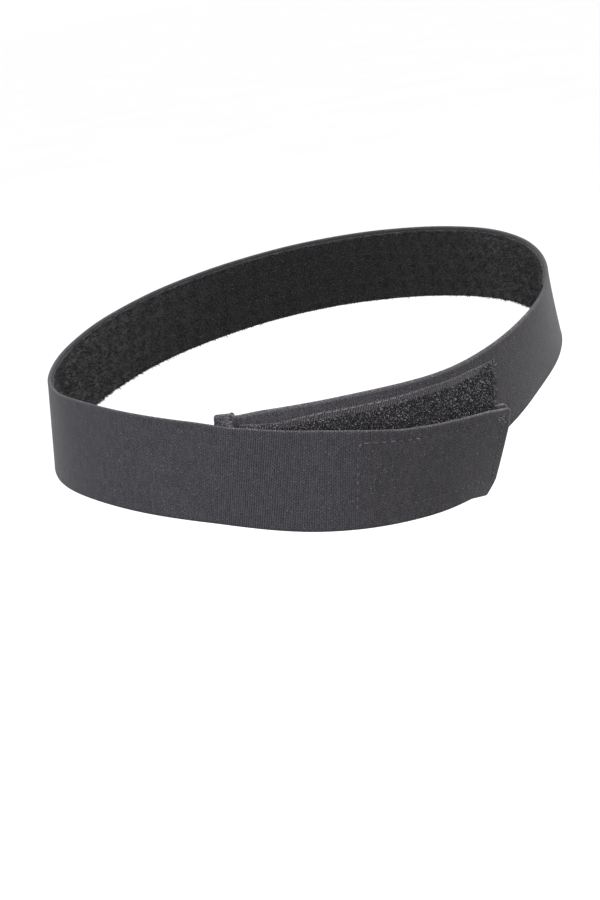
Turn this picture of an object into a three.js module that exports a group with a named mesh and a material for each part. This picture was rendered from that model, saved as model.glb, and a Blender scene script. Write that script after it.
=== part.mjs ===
// Elastic grip band, closed round its opening. Millimetres, +Z up.
// The front of the band faces -Y, its left side lies at +X and its right side at -X.
// The origin is the middle of the opening, at the band's mean height.
import * as THREE from 'three';

// Opening that the band goes round, seen from above
const OPENING_HALF_WIDTH = 80.5;
const OPENING_HALF_LENGTH = 96;
const OPENING_EGG = 0.04;

// Elastic strip
const BAND_WIDTH = 30;
const BAND_THICKNESS = 1.2;
const UNDER_END = -176.9;
const TAB_END = 239.5;

// Hem folded outwards at the under end, and fold turned inwards at the tab end
const HEM_INNER_EDGE = -173.5;
const HEM_THICKNESS = 2.5;
const HEM_RISE = 0.6;
const TAB_FOLD_INNER_EDGE = 236.4;
const TAB_FOLD_DEPTH = 1.3;
const FOLD_STEP = 0.4;

// Tapes sewn on the two ends, and the plush inside the front
const TAPE_WIDTH = 22;
const LOOP_TAPE = { from: -172.2, to: -120.8, below_top: 3.2, thickness: 1.5 };
const HOOK_TAPE = { from: 205, to: 234, below_top: 2.6, thickness: 1.0 };
const GRIP_LINING = { from: -88, to: 148, below_top: 1, width: 28, thickness: 2.0 };
const SEAM_GAP = 0.3;

// Facets: degrees between two sections, and lanes across a ribbon's half width
const SECTION_STEP = 4;
const LANES = [-1, -0.97, -0.83, -0.3, 0.3, 0.83, 0.97, 1];
const EDGE_LANE_DEPTH = 0.25;

// The strip's way round the opening, one row per section. The angle is in degrees seen from above: 0 front,
// 90 left, 180 back, -90 right. The height is of the strip's middle, the lean tips its upper edge inwards,
// and the lift moves its inner face off the opening's outline.
const STATIONS = [
  { angle: -177, height: -10.5, lean: 1, lift: 0 },
  { angle: -155, height: -10, lean: -3, lift: 0 },
  { angle: -130, height: -9.5, lean: -6, lift: 0 },
  { angle: -100, height: -1, lean: -9, lift: 1.5 },
  { angle: -70, height: 5.5, lean: 5, lift: 2.4 },
  { angle: -45, height: 9, lean: 14, lift: 2.4 },
  { angle: -20, height: 10.5, lean: 18, lift: 2.4 },
  { angle: 15, height: 10.5, lean: 20, lift: 2.4 },
  { angle: 50, height: 7, lean: 18, lift: 2.4 },
  { angle: 80, height: 2.5, lean: 14, lift: 2.4 },
  { angle: 105, height: -2, lean: 9, lift: 2.4 },
  { angle: 130, height: -5.5, lean: 6, lift: 2.4 },
  { angle: 155, height: -6.5, lean: 7, lift: 2.2 },
  { angle: 180, height: -11.5, lean: 3, lift: 3.3 },
  { angle: 200, height: -18.5, lean: -2, lift: 4.3 },
  { angle: 220, height: -23, lean: -16, lift: 3.5 },
  { angle: 239.5, height: -24, lean: -25.3, lift: 2 },
];

// How far the tab's end is cut back, in degrees, from the lower edge (-1) to the upper edge (1)
const TAB_CUT = [
  { across: -1, back: 2.5 },
  { across: -0.83, back: 0 },
  { across: 0.5, back: 1 },
  { across: 1, back: 2.6 },
];
const TAB_CUT_REACH = 8;

// How far the tab's lower edge flares and its upper edge drops at the end
const TAB_FLARE = 1.7;
const TAB_DROP = 0.9;

// Index of the row that starts the interval holding a value
function rowBefore(rows, key, value) {
  let row = 0;
  while (row < rows.length - 2 && value >= rows[row + 1][key]) {
    row += 1;
  }
  return row;
}

// A column of the stations at any angle, as a smooth curve through its rows
function stationValue(column, angle) {
  const secant = (row) => {
    const rise = STATIONS[row + 1][column] - STATIONS[row][column];
    return rise / (STATIONS[row + 1].angle - STATIONS[row].angle);
  };
  const slope = (row) => {
    const before = secant(Math.max(row - 1, 0));
    const after = secant(Math.min(row, STATIONS.length - 2));
    return (before + after) / 2;
  };
  const row = rowBefore(STATIONS, 'angle', angle);
  const span = STATIONS[row + 1].angle - STATIONS[row].angle;
  const part = (angle - STATIONS[row].angle) / span;
  const rest = 1 - part;
  const start = rest * rest * ((1 + 2 * part) * STATIONS[row][column] + part * span * slope(row));
  const end = part * part * ((1 + 2 * rest) * STATIONS[row + 1][column] - rest * span * slope(row + 1));
  return start + end;
}

// Share of the tab's cut, flare and drop at an angle, from none at the start of their reach to all at the end
function tabShare(angle) {
  return Math.max(0, (angle - TAB_END + TAB_CUT_REACH) / TAB_CUT_REACH);
}

// How far the tab's cut takes a lane back at an angle
function tabCut(across, angle) {
  const row = rowBefore(TAB_CUT, 'across', across);
  const part = (across - TAB_CUT[row].across) / (TAB_CUT[row + 1].across - TAB_CUT[row].across);
  const back = THREE.MathUtils.lerp(TAB_CUT[row].back, TAB_CUT[row + 1].back, part);
  return back * tabShare(angle);
}

// Middle of the strip's inner face at an angle
function middle(angle) {
  const turn = THREE.MathUtils.degToRad(angle);
  const halfWidth = OPENING_HALF_WIDTH * (1 - OPENING_EGG * Math.cos(turn));
  const outline = 1 / Math.hypot(Math.sin(turn) / halfWidth, Math.cos(turn) / OPENING_HALF_LENGTH);
  const radius = outline + stationValue('lift', angle);
  return new THREE.Vector3(
    radius * Math.sin(turn), -radius * Math.cos(turn), stationValue('height', angle),
  );
}

// Point on the strip: across its width from its middle, and out from its inner face
function stripPoint(angle, across, out) {
  const centre = middle(angle);
  const along = middle(angle + 0.5).sub(middle(angle - 0.5)).normalize();
  const level = new THREE.Vector3(along.y, -along.x, 0).normalize();
  const lean = THREE.MathUtils.degToRad(stationValue('lean', angle));
  const up = new THREE.Vector3(0, 0, Math.cos(lean)).addScaledVector(level, -Math.sin(lean));
  up.addScaledVector(along, -up.dot(along)).normalize();
  const outward = along.clone().cross(up);
  return centre.addScaledVector(up, across).addScaledVector(outward, out);
}

// Angles of a ribbon's sections: both ends, any extra ones, and the shared steps between them
function sectionAngles(from, to, extra = []) {
  const angles = [from, to, ...extra];
  const first = Math.ceil((from + 1) / SECTION_STEP) * SECTION_STEP;
  for (let angle = first; angle < to - 1; angle += SECTION_STEP) {
    if (extra.every((other) => Math.abs(other - angle) > 0.5)) {
      angles.push(angle);
    }
  }
  return angles.sort((one, other) => one - other);
}

// Closed ribbon through sections. corner(angle, lane, face) gives the point of a lane on the outer face (1)
// or on the inner one (0).
function ribbon(angles, corner) {
  const lanes = LANES.length;
  const ring = 2 * lanes;
  const points = [];
  for (const angle of angles) {
    LANES.forEach((lane) => points.push(corner(angle, lane, 1)));
    LANES.toReversed().forEach((lane) => points.push(corner(angle, lane, 0)));
  }
  const faces = [];
  const quad = (a, b, c, d) => faces.push(a, b, c, a, c, d);
  for (let section = 0; section < angles.length - 1; section += 1) {
    const here = section * ring;
    for (let side = 0; side < ring; side += 1) {
      const next = (side + 1) % ring;
      quad(here + side, here + ring + side, here + ring + next, here + next);
    }
  }
  const last = (angles.length - 1) * ring;
  for (let lane = 0; lane < lanes - 1; lane += 1) {
    const opposite = ring - 1 - lane;
    quad(lane, lane + 1, opposite - 1, opposite);
    quad(last + lane, last + opposite, last + opposite - 1, last + lane + 1);
  }
  const geometry = new THREE.BufferGeometry().setFromPoints(points);
  geometry.setIndex(faces);
  geometry.computeVertexNormals();
  return geometry;
}

// Share of the thickness at which a lane lies: the two edge lanes round the ribbon's edges
function laneDepth(lane, face) {
  const inset = Math.abs(lane) === 1 ? EDGE_LANE_DEPTH : 0;
  return face === 1 ? 1 - inset : inset;
}

// The strip itself, with its hem, its fold and its cut end
function bandGeometry() {
  const corner = (angle, lane, face) => {
    const hemmed = angle <= HEM_INNER_EDGE;
    const folded = angle >= TAB_FOLD_INNER_EDGE;
    const outer = hemmed ? HEM_THICKNESS : BAND_THICKNESS;
    const inner = folded ? -TAB_FOLD_DEPTH : 0;
    const rise = hemmed && lane > 0.9 && face === 1 ? HEM_RISE : 0;
    const edgeShift = lane < -0.9 ? TAB_FLARE : lane > 0.9 ? TAB_DROP : 0;
    const across = (lane * BAND_WIDTH) / 2 + rise - edgeShift * tabShare(angle);
    const depth = inner + (outer - inner) * laneDepth(lane, face);
    return stripPoint(angle - tabCut(lane, angle), across, depth);
  };
  const steps = [
    HEM_INNER_EDGE, HEM_INNER_EDGE + FOLD_STEP,
    TAB_END - TAB_CUT_REACH, TAB_FOLD_INNER_EDGE - FOLD_STEP, TAB_FOLD_INNER_EDGE,
  ];
  return ribbon(sectionAngles(UNDER_END, TAB_END, steps), corner);
}

// A tape or lining that lies along one face of the strip, from one depth to another
function layerGeometry(layer, width, innerDepth) {
  const centre = BAND_WIDTH / 2 - layer.below_top - width / 2;
  const corner = (angle, lane, face) => {
    const depth = innerDepth + layer.thickness * laneDepth(lane, face);
    return stripPoint(angle, centre + (lane * width) / 2, depth);
  };
  return ribbon(sectionAngles(layer.from, layer.to), corner);
}

function addPiece(group, name, geometry, colour, roughness) {
  const material = new THREE.MeshStandardMaterial({ color: colour, roughness, metalness: 0 });
  material.name = name;
  const mesh = new THREE.Mesh(geometry, material);
  mesh.name = name;
  group.add(mesh);
}

const band = new THREE.Group();
band.name = 'elastic_grip_band';
const loopDepth = BAND_THICKNESS + SEAM_GAP;
const hookDepth = -SEAM_GAP - HOOK_TAPE.thickness;
const liningDepth = -SEAM_GAP - GRIP_LINING.thickness;
addPiece(band, 'elastic_band', bandGeometry(), 0x3b3a3d, 0.8);
addPiece(band, 'loop_tape', layerGeometry(LOOP_TAPE, TAPE_WIDTH, loopDepth), 0x262527, 0.95);
addPiece(band, 'hook_tape', layerGeometry(HOOK_TAPE, TAPE_WIDTH, hookDepth), 0x2b2a2c, 0.6);
addPiece(band, 'grip_lining', layerGeometry(GRIP_LINING, GRIP_LINING.width, liningDepth), 0x1f1e20, 1);

export default band;
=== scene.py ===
"""Looks of the elastic grip band: woven strip, loop tape, hook tape, plush lining and their stitches."""
import math

import bpy
import numpy as np
from mathutils import Matrix, Vector


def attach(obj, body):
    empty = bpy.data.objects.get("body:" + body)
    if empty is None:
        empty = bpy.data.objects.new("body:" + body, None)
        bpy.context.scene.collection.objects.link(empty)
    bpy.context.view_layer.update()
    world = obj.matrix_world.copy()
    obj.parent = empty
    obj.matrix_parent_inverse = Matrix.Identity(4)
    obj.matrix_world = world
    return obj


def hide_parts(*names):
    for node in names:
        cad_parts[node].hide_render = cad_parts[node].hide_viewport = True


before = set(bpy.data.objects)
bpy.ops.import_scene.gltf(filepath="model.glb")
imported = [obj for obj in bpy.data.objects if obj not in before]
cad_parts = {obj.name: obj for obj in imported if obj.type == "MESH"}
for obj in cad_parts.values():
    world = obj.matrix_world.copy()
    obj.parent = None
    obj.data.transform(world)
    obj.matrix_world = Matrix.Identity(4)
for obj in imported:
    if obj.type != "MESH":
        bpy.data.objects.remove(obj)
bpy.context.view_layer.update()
RANDOM = np.random.default_rng(20)

# Sizes are in millimetres and degrees where nothing else is said. Blender's own unit is the metre.
METRE = 1000

# Camera at the photograph's viewing angle, with its focal length and the image's height in pixels
CAMERA_DISTANCE = 650
CAMERA_AZIMUTH = 201.54
CAMERA_ELEVATION = 14.1
CAMERA_ROLL = -9.37
CAMERA_SIDE = -2.77
CAMERA_RISE = -32.63
CAMERA_CLIP_START = 10
CAMERA_CLIP_END = 200000
FOCAL_PIXELS = 1919.3
IMAGE_HEIGHT = 900
SENSOR = 36

# The strip's sizes, as in the part's source
OPENING_HALF_WIDTH = 80.5
OPENING_HALF_LENGTH = 96
OPENING_EGG = 0.04
STRIP_WIDTH = 30
STRIP_THICKNESS = 1.2
UNDER_END = -176.9
TAB_END = 239.5
HEM_INNER_EDGE = -173.5
HEM_RISE = 0.6
TAB_CUT_REACH = 8
HALF_WIDTH = STRIP_WIDTH / 2
HALF_THICKNESS = STRIP_THICKNESS / 2

# The strip's way round the opening, as in the part's source: angle, height, lean and lift
STATIONS = (
    (-177, -10.5, 1, 0),
    (-155, -10, -3, 0),
    (-130, -9.5, -6, 0),
    (-100, -1, -9, 1.5),
    (-70, 5.5, 5, 2.4),
    (-45, 9, 14, 2.4),
    (-20, 10.5, 18, 2.4),
    (15, 10.5, 20, 2.4),
    (50, 7, 18, 2.4),
    (80, 2.5, 14, 2.4),
    (105, -2, 9, 2.4),
    (130, -5.5, 6, 2.4),
    (155, -6.5, 7, 2.2),
    (180, -11.5, 3, 3.3),
    (200, -18.5, -2, 4.3),
    (220, -23, -16, 3.5),
    (239.5, -24, -25.3, 2),
)
ANGLES, HEIGHTS, LEANS, LIFTS = np.array(STATIONS, float).T

# The dressed hem, fold and tab, which differ a little from the solids
LAYER_STEP = 1.3
TURN_REACH = LAYER_STEP / 2 + HALF_THICKNESS
HEM_OVERHANG = 0.4
TAB_OVERHANG = 1.1
FOLD_INNER_EDGE = 235.6
FOLD_RISE = 0.9
LOWER_EDGE_SPARE = 0.2
TAB_FLARE = 1.8
TAB_DROP = 1.0

# How far the hem's seam draws the strip's edges in, and how far this reaches past the hem and under it
HEM_PINCH = 0.5
HEM_PINCH_REACH = 5
HEM_PINCH_UNDER = 0.4

# Parts of the strip's half width over which these changes of its edges grow from none to all
HEM_PINCH_LANES = (0.4, 1)
TAB_FLARE_LANES = (0.8, 0.97)
TAB_DROP_LANES = (0.6, 1)
TAB_RISE_LANES = (0.5, 1)

# Degrees by which the tab's end is cut back, by place across the strip's half width
TAB_CUT_BACK = ((-1, 2.5), (-0.83, 0), (0.5, 1), (0.92, 1.95), (1, 2.7))

# Millimetres by which the tab's upper edge rises and the loop tape sags, by angle
TAB_EDGE_RISE = (
    (178, 0), (184, -0.55), (190, -0.1), (199, 0.6), (206, 0.4), (213, 0), (222, 0.45), (228, 0.5),
    (236, 0.25),
)
LOOP_TAPE_SAG = (
    (-174, -0.5), (-172, -0.2), (-169.5, 0.55), (-166.5, 0.87), (-163, 0.35), (-160, 0), (-157, 0.1),
    (-150, 0.25), (-144, 0.08), (-140, -0.2), (-132, 0), (-128, 0.05), (-124, 0.6), (-121, 1.1),
)
LOOP_TAPE_SKEW = 0.17

# Layers on the strip: first and last angle, lower and upper edge from the strip's middle, and the depths
# of the ground's inner and outer face from the strip's inner face
LOOP_TAPE = {"from": -173.2, "to": -120.8, "low": -10.2, "high": 11.8, "inner": 1.22, "outer": 1.75}
HOOK_TAPE = {"from": 205, "to": 234, "low": -9.6, "high": 12.4, "inner": -0.6, "outer": -0.04}
LINING = {"from": -88, "to": 148, "low": -14, "high": 14, "inner": -1.2, "outer": -0.04}


# Shape of the strip

# Half step that gives the strip's direction, and size of the table that turns angles into lengths
DIRECTION_STEP = 0.5
TABLE_ROWS = 4000
TABLE_SPARE = 1


def station_value(values, angle):
    """A column of the stations at any angle, as a smooth curve through its rows."""
    secants = np.diff(values) / np.diff(ANGLES)
    before = np.concatenate([secants[:1], secants])
    after = np.concatenate([secants, secants[-1:]])
    slopes = (before + after) / 2
    row = np.clip(np.searchsorted(ANGLES, angle, side="right") - 1, 0, len(ANGLES) - 2)
    span = ANGLES[row + 1] - ANGLES[row]
    part = (angle - ANGLES[row]) / span
    rest = 1 - part
    start = rest**2 * ((1 + 2 * part) * values[row] + part * span * slopes[row])
    end = part**2 * ((1 + 2 * rest) * values[row + 1] - rest * span * slopes[row + 1])
    return start + end


def middle(angle):
    """Middle of the strip's inner face at an angle."""
    turn = np.radians(angle)
    half_width = OPENING_HALF_WIDTH * (1 - OPENING_EGG * np.cos(turn))
    outline = 1 / np.hypot(np.sin(turn) / half_width, np.cos(turn) / OPENING_HALF_LENGTH)
    radius = outline + station_value(LIFTS, angle)
    height = station_value(HEIGHTS, angle)
    return np.stack([radius * np.sin(turn), -radius * np.cos(turn), height], axis=-1)


def unit(vectors):
    return vectors / np.linalg.norm(vectors, axis=-1, keepdims=True)


def strip_point(angle, across, out):
    """Point across the strip's width from its middle and out from its inner face."""
    along = unit(middle(angle + DIRECTION_STEP) - middle(angle - DIRECTION_STEP))
    level = unit(np.stack([along[..., 1], -along[..., 0], np.zeros(along.shape[:-1])], axis=-1))
    lean = np.radians(station_value(LEANS, angle))[..., None]
    up = np.cos(lean) * np.array([0.0, 0.0, 1.0]) - np.sin(lean) * level
    up = unit(up - along * np.sum(up * along, axis=-1, keepdims=True))
    outward = np.cross(along, up)
    return middle(angle) + up * np.asarray(across)[..., None] + outward * np.asarray(out)[..., None]


TABLE_ANGLES = np.linspace(UNDER_END - TABLE_SPARE, TAB_END + TABLE_SPARE, TABLE_ROWS)
TABLE_STEPS = np.linalg.norm(np.diff(middle(TABLE_ANGLES), axis=0), axis=1)
TABLE_LENGTHS = np.concatenate([[0], np.cumsum(TABLE_STEPS)])
TABLE_LENGTHS -= np.interp(UNDER_END, TABLE_ANGLES, TABLE_LENGTHS)


def length_at(angle):
    """Length along the strip from its under end to an angle."""
    return float(np.interp(angle, TABLE_ANGLES, TABLE_LENGTHS))


def angle_at(length):
    """Angle at a length along the strip."""
    return np.interp(length, TABLE_LENGTHS, TABLE_ANGLES)


TAB_LENGTH = length_at(TAB_END)
HEM_LENGTH = length_at(HEM_INNER_EDGE)
FOLD_LENGTH = length_at(FOLD_INNER_EDGE)
for layer in (LOOP_TAPE, HOOK_TAPE, LINING):
    layer["start"] = length_at(layer["from"])
    layer["end"] = length_at(layer["to"])

# Box of stitches on the tab: lengths of its sides and of where its upper row fades, and its rows across
BOX_LEFT = length_at(205.6)
BOX_TURN = length_at(217)
BOX_RIGHT = length_at(233)
BOX_HIGH = 11.6
BOX_LOW = -9.2


def from_rows(rows, where):
    """Value from rows of (place, value), on straight lines between them."""
    places, values = np.array(rows, float).T
    return np.interp(where, places, values)


def share_between(value, start, end):
    """Share of the way from start to end, held between 0 and 1."""
    return np.clip((value - start) / (end - start), 0, 1)


def bell(value, centre, width):
    """Smooth bump of height 1 at a centre."""
    return np.exp(-(((value - centre) / width) ** 2))


def tab_share(angle):
    """Share of the tab's cut and flare at an angle."""
    return np.clip((angle - TAB_END + TAB_CUT_REACH) / TAB_CUT_REACH, 0, None)


def hem_pinch(length, lane):
    """Millimetres by which the hem's seam draws the strip's edges in, just past the hem."""
    reach = np.where(length > HEM_LENGTH, HEM_PINCH_REACH, HEM_PINCH_UNDER)
    edge = np.sign(lane) * share_between(np.abs(lane), *HEM_PINCH_LANES)
    return HEM_PINCH * bell(length, HEM_LENGTH, reach) * edge


def place(length, across, out):
    """Point in metres: along from the strip's under end, across from its middle, out from its inner face."""
    length, across, out = np.broadcast_arrays(length, across, out)
    angle = angle_at(length)
    share = tab_share(angle)
    lane = across / HALF_WIDTH
    flare = TAB_FLARE * share_between(-lane, *TAB_FLARE_LANES)
    drop = TAB_DROP * share_between(lane, *TAB_DROP_LANES)
    back = share * from_rows(TAB_CUT_BACK, lane)
    rise = from_rows(TAB_EDGE_RISE, angle) * share_between(lane, *TAB_RISE_LANES)
    shifted = across + rise - share * (flare + drop) - hem_pinch(length, lane)
    return strip_point(angle - back, shifted, out) / METRE


# Meshes

# Ribbons: lanes across, points round an edge, sections along, and points round a fold
LANE_SPACING = 0.9
FEWEST_LANES = 4
EDGE_ARC = 60
EDGE_POINTS = 5
SECTION_SPACING = 0.8
FOLD_POINTS = 9

# The strip's firm edge: a bead and a groove, by distance from the edge and width
EDGE_RELIEF = 0.05
BEAD = (0.9, 0.5)
GROOVE = (2.2, 0.45)

# Corners and faces of a pile fibre, and what keeps a direction from being zero
SPIKE_POINTS = 4
SPIKE_FACES = ((0, 2, 1), (0, 1, 3), (1, 2, 3), (2, 0, 3))
TINY = 1e-12


def new_piece(name, points, faces, material, coordinates=None, shades=None, smooth=True):
    """Mesh object that rides on the part, with a weave map in millimetres and a shade for each point."""
    mesh = bpy.data.meshes.new(name)
    mesh.from_pydata([tuple(point) for point in points], [], faces)
    mesh.materials.append(material)
    mesh.polygons.foreach_set("use_smooth", [smooth] * len(mesh.polygons))
    corners = np.zeros(len(mesh.loops), int)
    mesh.loops.foreach_get("vertex_index", corners)
    if coordinates is not None:
        layer = mesh.uv_layers.new(name="weave")
        layer.data.foreach_set("uv", np.asarray(coordinates, np.float32)[corners].ravel())
    if shades is not None:
        attribute = mesh.attributes.new("shade", "FLOAT", "POINT")
        attribute.data.foreach_set("value", np.asarray(shades, np.float32))
    mesh.update()
    piece = bpy.data.objects.new(name, mesh)
    bpy.context.scene.collection.objects.link(piece)
    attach(piece, "root")
    return piece


def flat_profile(low, high, half, relief=0.0):
    """Closed cross-section of a ribbon with round edges, as rows of (across, offset from its middle)."""
    turn = np.radians(np.linspace(EDGE_ARC, -EDGE_ARC, EDGE_POINTS))
    inner_low = low + half
    inner_high = high - half
    count = max(int(round((high - low) / LANE_SPACING)), FEWEST_LANES)
    lanes = np.linspace(inner_low, inner_high, count)
    edge = np.minimum(lanes - low, high - lanes)
    face = half + relief * (bell(edge, *BEAD) - bell(edge, *GROOVE))
    upper = np.stack([inner_high + half * np.cos(turn), half * np.sin(turn)], axis=1)
    lower = np.stack([inner_low - half * np.cos(turn), -half * np.sin(turn)], axis=1)
    outer = np.stack([lanes, face], axis=1)
    inner = np.stack([lanes[::-1], -face[::-1]], axis=1)
    return np.concatenate([outer, upper, inner, lower])


def straight(start, end, depth, rise):
    """Rows of a ribbon's path along one layer."""
    count = max(int(abs(end - start) / SECTION_SPACING), 2)
    lengths = np.linspace(start, end, count)
    return np.stack([lengths, np.full(count, depth), np.full(count, rise)], axis=1)


def turned(length, depth, start, end, rise_start, rise_end):
    """Rows of a ribbon's path round a fold, from one turn to another."""
    turns = np.radians(np.linspace(start, end, FOLD_POINTS)[1:-1])
    radius = LAYER_STEP / 2
    rises = np.linspace(rise_start, rise_end, len(turns))
    return np.stack([length + radius * np.cos(turns), depth + radius * np.sin(turns), rises], axis=1)


def ribbon(path, profile, warp=None):
    """Closed ribbon along a path of (length, depth, rise) rows. Returns points, faces and the weave map."""
    lengths, depths, rises = path.T
    forward = unit(np.stack([np.gradient(lengths), np.gradient(depths)], axis=1))
    normal = np.stack([-forward[:, 1], forward[:, 0]], axis=1)
    across = profile[None, :, 0] + rises[:, None]
    offset = np.broadcast_to(profile[None, :, 1], across.shape)
    length = lengths[:, None] + normal[:, :1] * offset
    depth = depths[:, None] + normal[:, 1:] * offset
    if warp is not None:
        length, across, depth = warp(length, across, depth)
    points = place(length, across, depth).reshape(-1, 3)
    steps = np.hypot(np.diff(lengths), np.diff(depths))
    run = np.concatenate([[0], np.cumsum(steps)])
    coordinates = np.stack([np.repeat(run, len(profile)), np.tile(profile[:, 0], len(path))], axis=1)
    ring = len(profile)
    faces = []
    for section in range(len(path) - 1):
        here = section * ring
        there = here + ring
        for side in range(ring):
            after = (side + 1) % ring
            faces.append((here + side, there + side, there + after, here + after))
    last = (len(path) - 1) * ring
    faces.append(tuple(range(ring)))
    faces.append(tuple(last + side for side in reversed(range(ring))))
    return points, faces, coordinates


def tubes(paths, radius, sides):
    """Round tubes along many paths of one shape (path, point, axis). Returns points and faces."""
    count, steps, _ = paths.shape
    forward = unit(np.gradient(paths, axis=1))
    bend = np.cross(paths[:, steps // 2] - paths[:, 0], paths[:, -1] - paths[:, 0])
    bend = unit(bend + TINY)[:, None, :]
    side = unit(np.cross(forward, bend))
    other = np.cross(side, forward)
    turns = np.arange(sides) * 2 * math.pi / sides
    radius = np.broadcast_to(radius, (count, steps))[:, :, None, None]
    around = np.cos(turns)[:, None] * side[:, :, None, :] + np.sin(turns)[:, None] * other[:, :, None, :]
    points = (paths[:, :, None, :] + radius * around).reshape(-1, 3)
    faces = []
    for tube in range(count):
        first = tube * steps * sides
        for step in range(steps - 1):
            here = first + step * sides
            for corner in range(sides):
                after = (corner + 1) % sides
                faces.append((here + corner, here + after, here + sides + after, here + sides + corner))
        last = first + (steps - 1) * sides
        faces.append(tuple(first + corner for corner in reversed(range(sides))))
        faces.append(tuple(last + corner for corner in range(sides)))
    return points, faces


def spikes(roots, tips, width):
    """Closed three-sided fibres that taper from a root to a tip. Returns points and faces."""
    count = len(roots)
    forward = unit(tips - roots)
    side = unit(np.cross(forward, RANDOM.normal(0, 1, (count, 3)))) * width[:, None] / 2
    other = np.cross(forward, side) * math.sqrt(3) / 2
    points = np.stack([roots + side, roots - side / 2 + other, roots - side / 2 - other, tips], axis=1)
    faces = []
    for first in range(0, SPIKE_POINTS * count, SPIKE_POINTS):
        for corners in SPIKE_FACES:
            faces.append(tuple(first + corner for corner in corners))
    return points.reshape(-1, 3), faces


# Materials

# Range that holds most of a noise's values, and the solid core of a speck as a part of its size
NOISE_RANGE = (0.3, 0.7)
SPECK_CORE = 0.4


class Finish:
    """A material with one Principled shader, and short calls for the nodes that feed it."""

    def __init__(self, name, constants):
        self.material = bpy.data.materials.new(name)
        self.material.use_nodes = True
        self.tree = self.material.node_tree
        self.shader = self.tree.nodes["Principled BSDF"]
        for socket, value in constants.items():
            self.shader.inputs[socket].default_value = value

    def node(self, kind, inputs, **settings):
        """Adds a node, with its settings and its inputs set to values or linked to other nodes' outputs."""
        made = self.tree.nodes.new(kind)
        for setting, value in settings.items():
            setattr(made, setting, value)
        for socket, value in inputs.items():
            if isinstance(value, bpy.types.NodeSocket):
                self.tree.links.new(value, made.inputs[socket])
            else:
                made.inputs[socket].default_value = value
        return made

    def math(self, operation, first, second=0.0):
        return self.node("ShaderNodeMath", {0: first, 1: second}, operation=operation).outputs[0]

    def product(self, first, *others):
        for other in others:
            first = self.math("MULTIPLY", first, other)
        return first

    def total(self, first, *others):
        for other in others:
            first = self.math("ADD", first, other)
        return first

    def weighted(self, values, weights):
        """Sum of values, each times its weight."""
        return self.total(*[self.product(*pair) for pair in zip(values, weights)])

    def distance(self, value, centre):
        return self.math("ABSOLUTE", self.math("SUBTRACT", value, centre))

    def ramp(self, value, low, high, to_low=0.0, to_high=1.0):
        """Smooth change from one value to another as the input passes from low to high."""
        inputs = {"Value": value, 1: low, 2: high, 3: to_low, 4: to_high}
        made = self.node("ShaderNodeMapRange", inputs, interpolation_type="SMOOTHSTEP")
        return made.outputs[0]

    def spread(self, noise, to_low, to_high):
        """A noise spread smoothly over a range of values."""
        return self.ramp(noise, *NOISE_RANGE, to_low, to_high)

    def wave(self, value, pitch, phase=0.0):
        """Sine of a length over a pitch, from 0 to 1."""
        turns = self.math("MULTIPLY", value, 2 * math.pi / pitch)
        sine = self.math("SINE", self.total(turns, phase))
        return self.total(self.math("MULTIPLY", sine, 0.5), 0.5)

    def noise(self, vector, scale, detail=2.0):
        inputs = {"Vector": vector, "Scale": scale, "Detail": detail}
        return self.node("ShaderNodeTexNoise", inputs).outputs[0]

    def specks(self, vector, scale, size, share):
        """Round specks in a share of the cells of a random grid, with their size as a part of a cell."""
        cells = self.node("ShaderNodeTexVoronoi", {"Vector": vector, "Scale": scale})
        near = self.ramp(cells.outputs["Distance"], SPECK_CORE * size, size, 1.0, 0.0)
        chance = self.node("ShaderNodeSeparateColor", {0: cells.outputs["Color"]}).outputs[0]
        return self.math("MULTIPLY", near, self.math("LESS_THAN", chance, share))

    def mix(self, share, first, second):
        """Colour between two colours."""
        inputs = {0: share, 6: first, 7: second}
        return self.node("ShaderNodeMix", inputs, data_type="RGBA").outputs[2]

    def scaled(self, colour, factor):
        """Colour times a factor."""
        vector = self.node("ShaderNodeVectorMath", {0: colour, "Scale": factor}, operation="SCALE")
        return vector.outputs[0]

    def weave(self):
        """The weave map: its vector, the run along and the place across, in millimetres."""
        vector = self.node("ShaderNodeUVMap", {}, uv_map="weave").outputs[0]
        parts = self.node("ShaderNodeSeparateXYZ", {0: vector})
        return vector, parts.outputs[0], parts.outputs[1]

    def position(self):
        return self.node("ShaderNodeTexCoord", {}).outputs["Object"]

    def shade(self):
        return self.node("ShaderNodeAttribute", {}, attribute_name="shade").outputs["Fac"]

    def bump(self, height, distance):
        """Bump whose height of 1 is worth a distance in millimetres."""
        inputs = {"Height": height, "Distance": distance / METRE, "Strength": 1.0}
        made = self.node("ShaderNodeBump", inputs)
        self.tree.links.new(made.outputs[0], self.shader.inputs["Normal"])

    def colour(self, socket):
        self.tree.links.new(socket, self.shader.inputs["Base Color"])

    def roughness(self, socket):
        self.tree.links.new(socket, self.shader.inputs["Roughness"])


# Tints of the greys: green and blue as shares of red
PLAIN_TINT = (0.98, 1.0)
COOL_TINT = (0.965, 1.12)
# The warm tint is painted warm reflected light
WARM_LIGHT_TINT = (0.945, 1.06)
SPECK_TINT = (0.98, 1.1)
TAPE_TINT = (0.95, 1.04)
YARN_TINT = (0.93, 1.04)


def grey(value, tint=PLAIN_TINT):
    green, blue = tint
    return (value, value * green, value * blue, 1)


# The strip's weave map runs from the hem's raw edge, so a length on its outer face lies later by HEM_RUN
HEM_RUN = HEM_LENGTH + 2 * HEM_OVERHANG - 2 * TURN_REACH + math.pi * LAYER_STEP / 2
FOLD_LINE_SHARE = 0.2
FOLD_RUN = TAB_LENGTH + TAB_OVERHANG - TURN_REACH + HEM_RUN + FOLD_LINE_SHARE * math.pi * LAYER_STEP / 2
BOX_RUN = BOX_LEFT + HEM_RUN

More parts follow.
